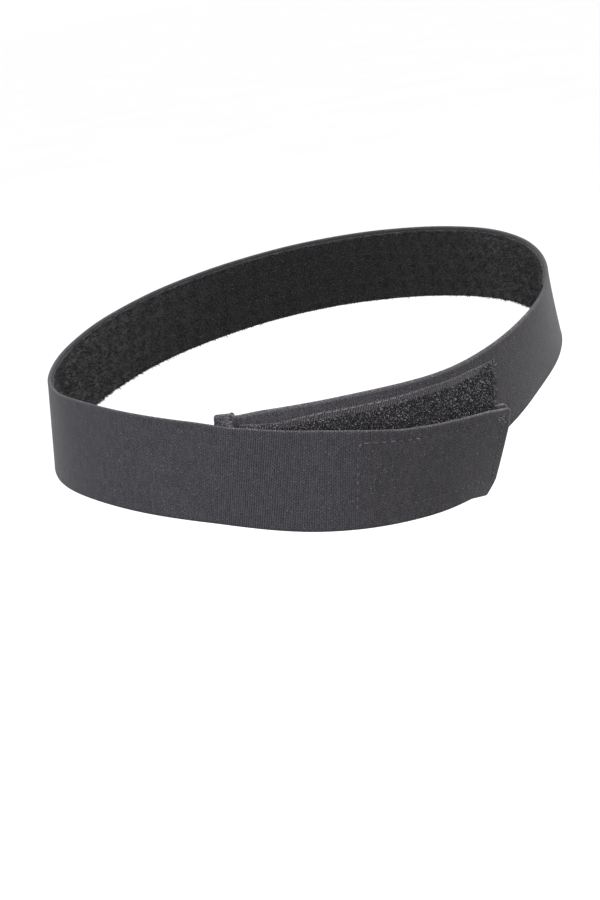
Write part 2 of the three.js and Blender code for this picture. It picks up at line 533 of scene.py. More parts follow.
# The elastic's weave: pitches, drift and patches of the ribs, and heights of what makes its relief
RIB_PITCH = 0.66
YARN_PITCH = 0.9
RIB_DRIFT = 0.25
RIB_DRIFT_SCALE = 0.15
RIB_PATCH_SCALE = 0.22
RIB_PATCHES = (0.38, 0.62, 0.8, 1.2)
LEAST_RIB = 0.06
YARN_UNEVEN_FUZZ = (0.1, 0.1, 1.3)
ELASTIC_BUMP = 0.12

# The elastic's looks: greys between two heights, noises by scale and detail, light specks by scale, size and
# share
ELASTIC_GLOSS = {"Sheen Weight": 0.18, "Sheen Roughness": 0.25, "Specular IOR Level": 0.22}
ELASTIC_ROUGHNESS = (0.72, 0.92)
ELASTIC_GREYS = (0.0185, 0.088)
ELASTIC_HEIGHTS = (0.45, 1.08)
ELASTIC_FUZZ = (2.6, 4.0)
BROAD_PATCHES = (0.05, 3.0)
BROAD_TONES = (0.97, 1.03)
FINE_SPECKS = (1.1, 0.24, 0.4)
FINE_SPECK_GREY = 0.15
SPARSE_SPECKS = (0.3, 0.08, 0.2)
SPARSE_SPECK_GREY = 0.2

# Changes along the strip: the angles where each starts and ends, and its values there
RIBS_START = (180, 186, 0.0, 1.35)
RIBS_FALL = (191, 198, 1.0, 0.5)
RIBS_END = (200, 214, 0.16, 0.0)
# Painted warm reflected light on the right side
RIGHT_SIDE_PAINTED_WARM_LIGHT = (-70, -40, 1.0, 0.0)
# Painted highlights: the upper edges of the under end and of the tab are lightened as if lit from above
UNDER_EDGE_PAINTED_HIGHLIGHT = (-112, -85, 0.62, 0.0)
TAB_EDGE_PAINTED_HIGHLIGHT = (150, 190, 0.2, 0.9)
TAB_END_TONE = (220, 235, 1.0, 1.14)
# Painted light that lightens the strip towards its under end
UNDER_END_PAINTED_LIGHT = (-155, -130, 1.2, 1.0)

# Changes along the weave map's run, and lanes across the strip's upper edge that take its painted highlights
# Painted warm reflected light on the tab
TAB_PAINTED_WARM_LIGHT = (BOX_RUN - 8, BOX_RUN + 4)
TAB_TONE = (BOX_RUN - 1, BOX_RUN + 1, 1.0, 0.96)
TAB_SEAM_TONE = (FOLD_RUN - 3.4, FOLD_RUN - 2.8, 1.0, 0.88)
# Painted highlight along the fold's line at the tab's end
FOLD_LINE_PAINTED_HIGHLIGHT = (0.4, 0.8, 1.8, 1.0)
UNDER_EDGE_HIGHLIGHT_LANES = (13.8, 14.3)
TAB_EDGE_HIGHLIGHT_LANES = (14.6, 14.9)


def along_strip(finish, run, first, last, to_first, to_last):
    """Smooth change of a value between two angles of the strip's outer face."""
    return finish.ramp(run, length_at(first) + HEM_RUN, length_at(last) + HEM_RUN, to_first, to_last)


def elastic_relief(finish, vector, along, across, fuzz):
    """Height of the weave: cross ribs, clearest on the back, yarns that pass over and under, and fuzz."""
    drift = finish.product(finish.noise(vector, RIB_DRIFT_SCALE), RIB_DRIFT)
    run = finish.total(along, drift)
    rib = finish.math("SUBTRACT", finish.wave(run, RIB_PITCH), 0.5)
    row = finish.math("FLOOR", finish.math("DIVIDE", run, RIB_PITCH))
    yarn = finish.wave(across, YARN_PITCH, finish.product(row, math.pi))
    dash = finish.math("FLOOR", finish.math("DIVIDE", across, 2 * YARN_PITCH))
    cell = finish.node("ShaderNodeCombineXYZ", {0: row, 1: dash}).outputs[0]
    uneven = finish.node("ShaderNodeTexWhiteNoise", {"Vector": cell}, noise_dimensions="2D").outputs[0]
    changes = [along_strip(finish, along, *change) for change in (RIBS_START, RIBS_FALL, RIBS_END)]
    on_back = finish.total(finish.product(*changes), LEAST_RIB)
    patches = finish.ramp(finish.noise(vector, RIB_PATCH_SCALE), *RIB_PATCHES)
    clear = finish.product(on_back, patches)
    return finish.weighted((rib, yarn, uneven, fuzz), (clear, *YARN_UNEVEN_FUZZ))


def elastic_weave_colour(finish, vector, along, height):
    """Colour from the weave's hollows to its ridges, with painted warm reflected light on the tab and the
    right side, and light specks.
    """
    # Painted warm reflected light on the tab and the right side
    warm_light_on_tab = finish.ramp(along, *TAB_PAINTED_WARM_LIGHT)
    warm_light_on_right = along_strip(finish, along, *RIGHT_SIDE_PAINTED_WARM_LIGHT)
    painted_warm_light = finish.total(warm_light_on_tab, warm_light_on_right)
    greys = [finish.mix(painted_warm_light, grey(value, COOL_TINT), grey(value, WARM_LIGHT_TINT)) for value in ELASTIC_GREYS]
    colour = finish.mix(finish.ramp(height, *ELASTIC_HEIGHTS), *greys)
    return finish.mix(finish.specks(vector, *FINE_SPECKS), colour, grey(FINE_SPECK_GREY, SPECK_TINT))


def elastic_tone(finish, vector, along, across):
    """Factor on the colour: broad patches, painted highlights on the upper edges and the fold's line, and the
    tones of both ends.
    """
    broad = finish.spread(finish.noise(vector, *BROAD_PATCHES), *BROAD_TONES)
    # Painted highlights on the upper edges and along the fold's line
    edges = [
        finish.product(finish.ramp(across, *lanes), along_strip(finish, along, *light))
        for lanes, light in ((UNDER_EDGE_HIGHLIGHT_LANES, UNDER_EDGE_PAINTED_HIGHLIGHT), (TAB_EDGE_HIGHLIGHT_LANES, TAB_EDGE_PAINTED_HIGHLIGHT))
    ]
    fold_line_highlight = finish.ramp(finish.distance(along, FOLD_RUN), *FOLD_LINE_PAINTED_HIGHLIGHT)
    painted_highlights = finish.math("MAXIMUM", finish.total(*edges, 1.0), fold_line_highlight)
    tab = [finish.ramp(along, *tone) for tone in (TAB_TONE, TAB_SEAM_TONE)]
    # Tones of both ends: the tab end's tone, and painted light on the under end
    ends = [along_strip(finish, along, *tone) for tone in (TAB_END_TONE, UNDER_END_PAINTED_LIGHT)]
    return finish.product(broad, painted_highlights, *tab, *ends)


def elastic_finish():
    """Woven elastic, with sparse light specks over it."""
    finish = Finish("black_elastic", ELASTIC_GLOSS)
    vector, along, across = finish.weave()
    fuzz = finish.noise(vector, *ELASTIC_FUZZ)
    height = elastic_relief(finish, vector, along, across, fuzz)
    colour = elastic_weave_colour(finish, vector, along, height)
    colour = finish.scaled(colour, elastic_tone(finish, vector, along, across))
    finish.colour(finish.mix(finish.specks(vector, *SPARSE_SPECKS), colour, grey(SPARSE_SPECK_GREY)))
    finish.roughness(finish.spread(fuzz, *ELASTIC_ROUGHNESS))
    finish.bump(height, ELASTIC_BUMP)
    return finish.material


# Ground of the two tapes: its brightness, its weave, and its plain edges with painted shade between them,
# under the pile and hooks
LOOP_WEAVE_LIGHT = 0.085
HOOK_WEAVE_LIGHT = 0.06
TAPE_RIB_PITCH = 0.74
TAPE_RIB_SLANT = -0.3
TAPE_YARN_PITCH = 0.45
TAPE_FUZZ = (3.0, 3.0)
TAPE_RIB_YARN_FUZZ = (1.1, 0.15, 0.5)
TAPE_BUMP = 0.12
TAPE_GLOSS = {"Sheen Weight": 0.15, "Sheen Roughness": 0.4, "Specular IOR Level": 0.35}
TAPE_ROUGHNESS = (0.6, 0.85)
TAPE_HEIGHTS = (0.35, 1.35)
TAPE_GREY_SHARES = (0.35, 1.35)
TAPE_EDGE = 2.0
TAPE_EDGE_START = 2.6
TAPE_MIDDLE_PAINTED_SHADE = 0.32


def tape_finish(name, light, layer):
    """Woven ground of a tape: fine slanting ribs, with painted shade between two plain lighter edges."""
    finish = Finish(name, TAPE_GLOSS)
    vector, along, across = finish.weave()
    slant = finish.total(along, finish.product(across, TAPE_RIB_SLANT))
    ribs = finish.wave(slant, TAPE_RIB_PITCH)
    yarns = finish.wave(across, TAPE_YARN_PITCH)
    fuzz = finish.noise(vector, *TAPE_FUZZ)
    height = finish.weighted((ribs, yarns, fuzz), TAPE_RIB_YARN_FUZZ)
    greys = [grey(light * share, TAPE_TINT) for share in TAPE_GREY_SHARES]
    colour = finish.mix(finish.ramp(height, *TAPE_HEIGHTS), *greys)
    centre = (layer["low"] + layer["high"]) / 2
    half_width = layer["high"] - centre
    edge = (half_width - TAPE_EDGE_START, half_width - TAPE_EDGE)
    # Painted shade: the middle, where the pile or hooks stand, is darkened
    tone = finish.ramp(finish.distance(across, centre), *edge, TAPE_MIDDLE_PAINTED_SHADE, 1.0)
    finish.colour(finish.scaled(colour, tone))
    finish.roughness(finish.spread(fuzz, *TAPE_ROUGHNESS))
    finish.bump(height, TAPE_BUMP)
    return finish.material


# Grain along threads and filaments, and each yarn's darkest and lightest grey and gloss
YARN_GRAIN_SCALE = 5000
YARN_GRAIN_TONES = (0.75, 1.25)
YARN_BUMP = 0.04
LOOP_YARN = (0.015, 0.4, {"Roughness": 0.35, "Specular IOR Level": 0.6})
HOOK_YARN = (0.015, 0.04, {"Roughness": 0.35, "Specular IOR Level": 0.5})
SEWING_THREAD = (0.03, 0.34, {"Roughness": 0.55, "Specular IOR Level": 0.4, "Sheen Weight": 0.2})
PLUSH_GLOSS = {"Roughness": 0.75, "Specular IOR Level": 0.3, "Sheen Weight": 0.4, "Sheen Roughness": 0.4}
PLUSH_YARN = (0.006, 0.065, PLUSH_GLOSS)


def yarn_finish(name, dark, light, gloss):
    """Filaments and threads: each has its own shade, and a fine grain along it."""
    finish = Finish(name, gloss)
    grain = finish.noise(finish.position(), YARN_GRAIN_SCALE)
    colour = finish.mix(finish.shade(), grey(dark, YARN_TINT), grey(light, YARN_TINT))
    finish.colour(finish.scaled(colour, finish.spread(grain, *YARN_GRAIN_TONES)))
    finish.bump(grain, YARN_BUMP)
    return finish.material


# Knitted columns of the plush's ground
KNIT_PITCH = 0.8
KNIT_FUZZ = (2.2, 4.0)
KNIT_COLUMN_FUZZ = (0.25, 0.75)
KNIT_BUMP = 0.3
KNIT_GLOSS = {"Sheen Weight": 0.3, "Sheen Roughness": 0.5, "Specular IOR Level": 0.2}
KNIT_ROUGHNESS = (0.8, 1.0)
KNIT_HEIGHTS = (0.2, 0.8)
KNIT_GREYS = (0.008, 0.03)


def lining_finish():
    """Knitted ground under the plush."""
    finish = Finish("plush_ground", KNIT_GLOSS)
    vector, _, across = finish.weave()
    columns = finish.wave(across, KNIT_PITCH)
    fuzz = finish.noise(vector, *KNIT_FUZZ)
    height = finish.weighted((columns, fuzz), KNIT_COLUMN_FUZZ)
    finish.colour(finish.mix(finish.ramp(height, *KNIT_HEIGHTS), *map(grey, KNIT_GREYS)))
    finish.roughness(finish.spread(fuzz, *KNIT_ROUGHNESS))
    finish.bump(height, KNIT_BUMP)
    return finish.material


# The pale floor
FLOOR_GLOSS = {"Specular IOR Level": 0.1}
FLOOR_GRAIN = (3.0, 4.0)
FLOOR_ROUGHNESS = (0.8, 0.95)
FLOOR_COLOURS = ((0.88, 0.88, 0.88, 1), (0.92, 0.92, 0.92, 1))


def floor_finish():
    finish = Finish("pale_floor", FLOOR_GLOSS)
    grain = finish.noise(finish.position(), *FLOOR_GRAIN)
    finish.colour(finish.mix(grain, *FLOOR_COLOURS))
    finish.roughness(finish.spread(grain, *FLOOR_ROUGHNESS))
    return finish.material


# The strip and the grounds of its layers

# Slow unevenness of the strip: its depth, the lengths that make one radian of its waves, and its phase
WAVER = 0.07
WAVER_LONG = 17.3
WAVER_SHORT = 6.9
WAVER_SLANT = 11
WAVER_PHASE = 0.6

# Dents along the tab's box of stitches, and the skew of the under end below its upper edge
DENT = 0.1
DENT_ROW_WIDTH = 0.8
DENT_SIDE_WIDTH = 0.9
DENT_SPARE = 0.5
UNDER_SKEW = 0.17
UNDER_SKEW_DEPTH = 4
UNDER_SKEW_REACH = 2


def strip_warp(length, across, depth):
    """Slight unevenness of the strip, the skew of its under end, and the dents along the tab's stitches."""
    slow = np.sin(length / WAVER_LONG + WAVER_PHASE) * np.sin(length / WAVER_SHORT + across / WAVER_SLANT)
    inside = (length > BOX_LEFT - DENT_SPARE) & (length < BOX_RIGHT + DENT_SPARE)
    rows = bell(across, BOX_HIGH, DENT_ROW_WIDTH) + bell(across, BOX_LOW, DENT_ROW_WIDTH)
    between = (across > BOX_LOW - DENT_SPARE) & (across < BOX_HIGH + DENT_SPARE)
    side = bell(length, BOX_LEFT, DENT_SIDE_WIDTH)
    below_edge = np.clip(HALF_WIDTH - across, 0, UNDER_SKEW_DEPTH)
    skew = UNDER_SKEW * below_edge * bell(length, 0, UNDER_SKEW_REACH)
    return length - skew, across, depth + WAVER * slow - DENT * rows * inside - DENT * side * between


def make_strip():
    """The elastic strip with its hem and its fold, and the size of its flat form in metres."""
    hem_depth = HALF_THICKNESS + LAYER_STEP
    fold_depth = HALF_THICKNESS - LAYER_STEP
    left = TURN_REACH - HEM_OVERHANG
    right = TAB_LENGTH + TAB_OVERHANG - TURN_REACH
    path = np.concatenate([
        straight(HEM_LENGTH, left, hem_depth, HEM_RISE),
        turned(left, HALF_THICKNESS + LAYER_STEP / 2, 90, 270, HEM_RISE, 0),
        straight(left, right, HALF_THICKNESS, 0),
        turned(right, HALF_THICKNESS - LAYER_STEP / 2, 90, -90, 0, FOLD_RISE),
        straight(right, FOLD_LENGTH, fold_depth, FOLD_RISE),
    ])
    profile = flat_profile(-HALF_WIDTH - LOWER_EDGE_SPARE, HALF_WIDTH, HALF_THICKNESS, EDGE_RELIEF)
    points, faces, coordinates = ribbon(path, profile, strip_warp)
    piece = new_piece("elastic_strip", points, faces, elastic_finish(), coordinates)
    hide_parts("elastic_band")
    return piece, (STRIP_WIDTH / METRE, float(coordinates[:, 0].max()) / METRE)


def tape_share(length):
    """Share of the loop tape's length, from its covered end to its free end."""
    return (length - LOOP_TAPE["start"]) / (LOOP_TAPE["end"] - LOOP_TAPE["start"])


def loop_tape_warp(length, across, depth):
    """The loop tape lies a little off straight: it sags near both ends, and its free end is cut askew."""
    sag = from_rows(LOOP_TAPE_SAG, angle_at(length))
    skew = LOOP_TAPE_SKEW * across * np.clip(tape_share(length), 0, 1)
    return length + skew, across - sag, depth


def make_ground(slot, layer, material, warp=None):
    """Ground of a layer on the strip, and the size of its flat form in metres."""
    half = (layer["outer"] - layer["inner"]) / 2
    path = straight(layer["start"], layer["end"], (layer["outer"] + layer["inner"]) / 2, 0)
    profile = flat_profile(layer["low"], layer["high"], half)
    points, faces, coordinates = ribbon(path, profile, warp)
    piece = new_piece(slot + "_ground", points, faces, material, coordinates)
    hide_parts(slot)
    return piece, ((layer["high"] - layer["low"]) / METRE, (layer["end"] - layer["start"]) / METRE)


# Pile of the loop tape, hooks and plush

# Bare stretches of a pile at its two ends
PILE_START_SPARE = 0.6
PILE_END_SPARE = 0.2

# The loops: their grid, and the plain edges and covered part where fewer stand, by share of the tape's length
LOOP_SPACING = 0.525
LOOP_MARGIN = 0.15
PLAIN_EDGE_WIDTH = ((0.15, 0), (0.3, 1.5), (0.6, 1.7), (0.77, 2.4), (0.9, 2.2), (0.95, 0))
PLAIN_EDGE_WAVER = 0.2
PLAIN_EDGE_WAVES = ((0.8, 0), (1.9, 1))
LOWER_PLAIN_EDGE = 1.6
COVERED_BELOW = ((0, 7), (1, -6))
EDGE_LOOPS_KEPT = 0.4
COVERED_LOOPS_KEPT = 0.6

# A loop: heights on the edge and elsewhere, its arc and its parts of that height, its tilt and its radius
EDGE_LOOP_HEIGHT = (0.25, 0.42)
LOOP_HEIGHT = (0.36, 0.7)
LOOP_ARC = 130
LOOP_ARC_POINTS = 5
LOOP_HALF_WIDTH = 0.3
LOOP_CENTRE = 0.6
LOOP_TOP_RADIUS = 0.4
LOOP_ROOT_SIDE = 0.1
LOOP_ROOT_DEPTH = 0.08
LOOP_TILT = 0.45
LOOP_TILT_LIMIT = 0.8
LOOP_RADIUS = (0.055, 0.088)
EDGE_LOOP_THINNESS = 0.7
LOOP_SIDES = 3

# Shades of the loops: the power that darkens most of them, and the painted light added where the tab shades
# them, by share of the tape's length
LOOP_DARKENING = ((0.15, 1.4), (0.72, 2.0), (0.84, 2.8), (0.95, 3.4))
LOOP_PAINTED_LIGHT_LIFT = ((0.3, 0.06), (0.65, 0))
EDGE_LOOP_SHADE = 0.35

# The hooks: their grid and their bent shape as (sideways, height)
HOOK_SPACING = 1.25
HOOK_MARGIN = 1.6
HOOK_SHAPE = ((0, -0.05), (0.02, 0.3), (0.08, 0.58), (0.24, 0.72), (0.4, 0.64), (0.44, 0.46), (0.36, 0.32))
HOOK_RADIUS = 0.1
HOOK_SIDES = 4

# The plush: fibres on its face and along its edges, and their sizes
PLUSH_FIBRES = 38500
FRINGE_FIBRES = 8500
LOWER_FRINGE_SHARE = 0.4
FRINGE_WIDTH = 0.7
FIBRE_HEIGHT = (0.7, 1.3)
FIBRE_WIDTH = (0.2, 0.36)
FIBRE_LEAN = 0.38
UPPER_FRINGE_LEAN = (0.2, 1.0)
LOWER_FRINGE_LEAN = (0, 0.3)
ROOT_DEPTH = 0.1
FRINGE_ROOT_SPARE = 0.4
FIBRE_DARKENING = 2.5

# Clumps of the plush: their height and lean, and the radians of their waves in a millimetre
CLUMP_HEIGHT = 0.3
CLUMP_LEAN = 0.4
CLUMP_ALONG = 1.9
CLUMP_ACROSS = 2.3
CLUMP_SLANT = 0.7
LEAN_ALONG = 0.9
LEAN_ACROSS = 1.1


def scattered(layer, spacing, margin):
    """Jittered grid of places on a layer, as lengths and places across."""
    lengths = np.arange(layer["start"] + PILE_START_SPARE, layer["end"] - PILE_END_SPARE, spacing)
    lanes = np.arange(layer["low"] + margin, layer["high"] - margin, spacing)
    along, across = (axis.ravel() for axis in np.meshgrid(lengths, lanes, indexing="ij"))
    along = along + RANDOM.uniform(-0.5, 0.5, along.shape) * spacing
    across = across + RANDOM.uniform(-0.5, 0.5, across.shape) * spacing
    return along, across


def loop_places():
    """Places of the loops along and across, and which of them stand on the tape's plain edges."""
    along, across = scattered(LOOP_TAPE, LOOP_SPACING, LOOP_MARGIN)
    waver = 1
    for rate, phase in PLAIN_EDGE_WAVES:
        waver = waver + PLAIN_EDGE_WAVER * np.sin(along * rate + phase)
    edge_width = from_rows(PLAIN_EDGE_WIDTH, tape_share(along)) * waver
    on_upper = across > LOOP_TAPE["high"] - edge_width
    on_lower = across < LOOP_TAPE["low"] + LOWER_PLAIN_EDGE
    on_edge = on_upper | on_lower
    covered = across < from_rows(COVERED_BELOW, tape_share(along))
    chance = np.where(on_edge, EDGE_LOOPS_KEPT, np.where(covered, COVERED_LOOPS_KEPT, 1.0))
    kept = RANDOM.uniform(0, 1, len(along)) < chance
    return along[kept], across[kept], on_edge[kept]


def make_loops():
    """Curly pile of the loop tape, thinner under the tab, with a few short loops on its plain edges."""
    along, across, on_edge = loop_places()
    count = len(along)
    short = RANDOM.uniform(*EDGE_LOOP_HEIGHT, count)
    tall = np.where(on_edge, short, RANDOM.uniform(*LOOP_HEIGHT, count))[:, None]
    turns = np.radians(np.linspace(-LOOP_ARC, LOOP_ARC, LOOP_ARC_POINTS))
    arc_side = LOOP_HALF_WIDTH * np.sin(turns)
    arc_height = LOOP_CENTRE + LOOP_TOP_RADIUS * np.cos(turns)
    sideways = np.concatenate([[-LOOP_ROOT_SIDE], arc_side, [LOOP_ROOT_SIDE]]) * tall
    height = np.concatenate([[-LOOP_ROOT_DEPTH], arc_height, [-LOOP_ROOT_DEPTH]]) * tall
    facing = RANDOM.uniform(0, math.pi, count)[:, None]
    tilt = RANDOM.normal(0, LOOP_TILT, (2, count))
    tilt = np.clip(tilt, -LOOP_TILT_LIMIT, LOOP_TILT_LIMIT)[:, :, None]
    lengths = along[:, None] + sideways * np.cos(facing) + tilt[0] * height
    lanes = across[:, None] + sideways * np.sin(facing) + tilt[1] * height
    paths = place(*loop_tape_warp(lengths, lanes, LOOP_TAPE["outer"] + height))
    thinness = np.where(on_edge, EDGE_LOOP_THINNESS, 1)
    radius = (RANDOM.uniform(*LOOP_RADIUS, count) * thinness / METRE)[:, None]
    points, faces = tubes(paths, radius, LOOP_SIDES)
    darkening = from_rows(LOOP_DARKENING, tape_share(along))
    # Painted light that lifts the loops where the tab shades them
    painted_light_lift = from_rows(LOOP_PAINTED_LIGHT_LIFT, tape_share(along))
    shades = np.where(on_edge, EDGE_LOOP_SHADE, painted_light_lift + RANDOM.uniform(0, 1, count) ** darkening)
    shades = np.repeat(shades, paths.shape[1] * LOOP_SIDES)
    finish = yarn_finish("loop_pile", *LOOP_YARN)
    return new_piece("loop_tape_pile", points, faces, finish, shades=shades)


def make_hooks():
    """Small hooks on the inside of the tab."""
    along, across = scattered(HOOK_TAPE, HOOK_SPACING, HOOK_MARGIN)
    count = len(along)
    sideways, height = np.array(HOOK_SHAPE).T
    facing = np.where(RANDOM.uniform(0, 1, count) > 0.5, 1.0, -1.0)[:, None]
    paths = place(along[:, None] + sideways * facing, across[:, None], HOOK_TAPE["inner"] - height)
    points, faces = tubes(paths, HOOK_RADIUS / METRE, HOOK_SIDES)
    shades = np.repeat(RANDOM.uniform(0, 1, count), paths.shape[1] * HOOK_SIDES)
    finish = yarn_finish("hook_nylon", *HOOK_YARN)
    return new_piece("hook_tape_hooks", points, faces, finish, shades=shades)


def make_plush():
    """Short clumped pile of the grip lining, with a ragged fringe along its edges."""
    face = PLUSH_FIBRES
    fringe = FRINGE_FIBRES
    total = face + fringe
    along = RANDOM.uniform(LINING["start"], LINING["end"], total)
    across = RANDOM.uniform(LINING["low"], LINING["high"], total)
    edge = np.where(RANDOM.uniform(0, 1, fringe) > LOWER_FRINGE_SHARE, LINING["high"], LINING["low"])
    across[face:] = edge - np.sign(edge) * RANDOM.uniform(0, FRINGE_WIDTH, fringe)
    clump = np.sin(along * CLUMP_ALONG) * np.sin(across * CLUMP_ACROSS + along * CLUMP_SLANT)
    clump[face:] = 0
    tall = RANDOM.uniform(*FIBRE_HEIGHT, total) + CLUMP_HEIGHT * clump
    clump_lean = np.stack([np.cos(along * LEAN_ALONG), np.sin(across * LEAN_ACROSS)])
    lean = RANDOM.normal(0, FIBRE_LEAN, (2, total)) + CLUMP_LEAN * clump_lean
    upper_lean = RANDOM.uniform(*UPPER_FRINGE_LEAN, fringe)
    lower_lean = RANDOM.uniform(*LOWER_FRINGE_LEAN, fringe)
    lean[1, face:] = np.where(edge > 0, upper_lean, -lower_lean)
    deepest = LINING["inner"] + ROOT_DEPTH
    root_depth = np.full(total, deepest)
    root_depth[face:] = RANDOM.uniform(deepest, LINING["outer"] - FRINGE_ROOT_SPARE, fringe)
    roots = place(along, across, root_depth)
    tips = place(along + lean[0] * tall, across + lean[1] * tall, root_depth - tall)
    points, faces = spikes(roots, tips, RANDOM.uniform(*FIBRE_WIDTH, total) / METRE)
    shades = np.repeat(RANDOM.uniform(0, 1, total) ** FIBRE_DARKENING, SPIKE_POINTS)
    finish = yarn_finish("plush_pile", *PLUSH_YARN)
    return new_piece(
        "grip_lining_pile", points, faces, finish, shades=shades, smooth=False,
    )


# Stitches

# A stitch: how far its ends stray, its points and sides, and how it arches over the cloth
STITCH_STRAY = 0.08
STITCH_POINTS = 7
STITCH_SIDES = 6
STITCH_ARCH = 0.3
STITCH_ARCH_POWER = 0.7
STITCH_SINK = 0.14

# Rows of stitches: pitch, share of the pitch that shows and slant, then the thread's radius and its place
BOX_STITCH = (2.55, 0.52, 0.0)
BOX_RADIUS = 0.16
BOX_SINK = 0.17
LOOP_STITCH = (2.35, 0.66, 0.12)
LOOP_STITCH_RADIUS = 0.13
LOOP_STITCH_INSET = 0.4
LOOP_STITCH_SPARE = 0.8
ZIGZAG_RADIUS = 0.14

# Start of the box's upper row, as places from its upper left corner, and the row's rise
BOX_CORNER = ((-0.2, -1.1), (1.2, -0.7))
BOX_ROW_START = (1.2, -0.3)
BOX_ROW_RISE = 0.05

# Tones of the box's rows with their spread, and of the loop tape's upper row by share of its length: painted
# light that makes one thread bright in places and dark elsewhere
BOX_ROW_PAINTED_LIGHT = (0.6, 0.4, 0.015, 0.24, 0.03)
BOX_TONE_SPREAD = (0.4, 1.3)
LOOP_STITCH_SHADES = (0.4, 0.65)
LOOP_STITCH_PAINTED_HIGHLIGHT = ((0.1, 0.3), (0.22, 1.2), (0.5, 1.3), (0.7, 0.3))

# Zigzags from the hem's inner edge and from the tab's end: the ends of their middle line, width and pitch
HEM_ZIGZAGS = (((-2.3, 14.2), (-2.3, -13.5), 2.2, 0.9), ((-1.5, 14.6), (-1.5, -13.8), 2.4, 0.75))
FOLD_ZIGZAG = ((-4.4, 12.8), (-3.2, -11.5), 1.3, 1.1)
HEM_KNOT = (((-1.5, 15.0), (-0.3, 15.1)), ((-1.3, 15.2), (-0.4, 15.1)), ((-1.4, 14.8), (-0.2, 14.9)))

# Tangles of thread ends: their count, and the lengths and places across between which they start
HEM_TANGLE = (26, (-4, -0.8), (10, 15))
FOLD_TANGLE = (22, (-6, -1.4), (9.5, 13.5))
THREAD_END_REACH = 0.9

# How rough the hem's stitches are, the shades of both seams, and how the fold's zigzag fades downwards as
# painted light, lighter at its top
HEM_ROUGHNESS = 0.15
HEM_SHADES = (0.1, 0.7)
KNOT_TONE = 0.2
FOLD_PAINTED_FADE = (0.5, -3)
FOLD_PAINTED_FADE_LIMITS = (0.02, 1)
FOLD_SHADE_SPREAD = (0.5, 1)
FOLD_TANGLE_SHADES = (0, 0.45)


def seam_line(start, end, pitch, fewest):
    """A seam's start, its way to its end, the direction to its side, and its count of stitches."""
    start = np.array(start, float)
    way = np.array(end, float) - start
    length = np.linalg.norm(way)
    side = np.array([-way[1], way[0]]) / length
    return start, way, side, max(int(round(length / pitch)), fewest)


def row_ends(start, end, pitch, share, slant):
    """Both ends of a row's stitches, each aslant by a length, as (stitch, end, length or across)."""
    start, way, side, count = seam_line(start, end, pitch, 1)
    first = (np.arange(count) + (1 - share) / 2) / count
    shares = np.stack([first, first + share / count], axis=1)[:, :, None]
    return start + shares * way + slant * np.array([-0.5, 0.5])[None, :, None] * side


def zigzag_ends(origin, start, end, width, pitch):
    """Both ends of the stitches of a zigzag between two ends of its middle line, placed from an origin."""
    start, way, side, count = seam_line(np.add(origin, start), np.add(origin, end), pitch, 2)
    shares = np.linspace(0, 1, count + 1)[:, None]
    swing = np.where(np.arange(count + 1) % 2, -0.5, 0.5)[:, None] * width
    corners = start + shares * way + swing * side
    return np.stack([corners[:-1], corners[1:]], axis=1)


def thread_ends(origin, count, lengths, lanes):
    """Both ends of loose bits of thread, scattered between two lengths from an origin and two lanes."""
    lengths = np.add(origin[0], lengths)
    starts = np.stack([RANDOM.uniform(*lengths, count), RANDOM.uniform(*lanes, count)], axis=1)
    reach = RANDOM.uniform(-THREAD_END_REACH, THREAD_END_REACH, starts.shape)
    return np.stack([starts, starts + reach], axis=1)


def make_stitches(name, ends, depth, back_depth, radius, shades):
    """Stitches that come up out of the cloth and go down again, on its face and on its back."""
    ends = ends + RANDOM.normal(0, STITCH_STRAY, ends.shape)
    shares = np.linspace(0, 1, STITCH_POINTS)
    track = ends[:, :1] + shares[:, None] * (ends[:, 1:] - ends[:, :1])
    lift = STITCH_ARCH * np.sin(math.pi * shares) ** STITCH_ARCH_POWER - STITCH_SINK
    on_face = place(track[..., 0], track[..., 1], depth + lift)
    on_back = place(track[..., 0], track[..., 1], back_depth - lift)
    points, faces = tubes(np.concatenate([on_face, on_back]), radius / METRE, STITCH_SIDES)
    tones = np.repeat(np.concatenate([shades, shades]), STITCH_POINTS * STITCH_SIDES)
    finish = yarn_finish(name + "_thread", *SEWING_THREAD)
    return new_piece(name, points, faces, finish, shades=tones)


def make_box_stitch():
    """Box of stitches that holds the hook tape, with a painted highlight along the start of its upper row."""
    upper_left = (BOX_LEFT, BOX_HIGH)
    corner_start, corner_end = np.add(upper_left, BOX_CORNER)
    lines = [
        (corner_start, corner_end),
        (np.add(upper_left, BOX_ROW_START), (BOX_TURN, BOX_HIGH + BOX_ROW_RISE)),
        ((BOX_TURN, BOX_HIGH), (BOX_RIGHT, BOX_HIGH)),
        ((BOX_LEFT, corner_start[1]), (BOX_LEFT, BOX_LOW)),
        ((BOX_LEFT, BOX_LOW), (BOX_RIGHT, BOX_LOW)),
    ]
    rows = [row_ends(start, end, *BOX_STITCH) for start, end in lines]
    ends = np.concatenate(rows)
    shades = np.concatenate([np.full(len(row), tone) for row, tone in zip(rows, BOX_ROW_PAINTED_LIGHT)])
    shades = np.clip(shades * RANDOM.uniform(*BOX_TONE_SPREAD, len(ends)), 0, 1)
    depth = STRIP_THICKNESS - BOX_SINK
    return make_stitches("tab_box_stitch", ends, depth, HOOK_TAPE["inner"], BOX_RADIUS, shades)


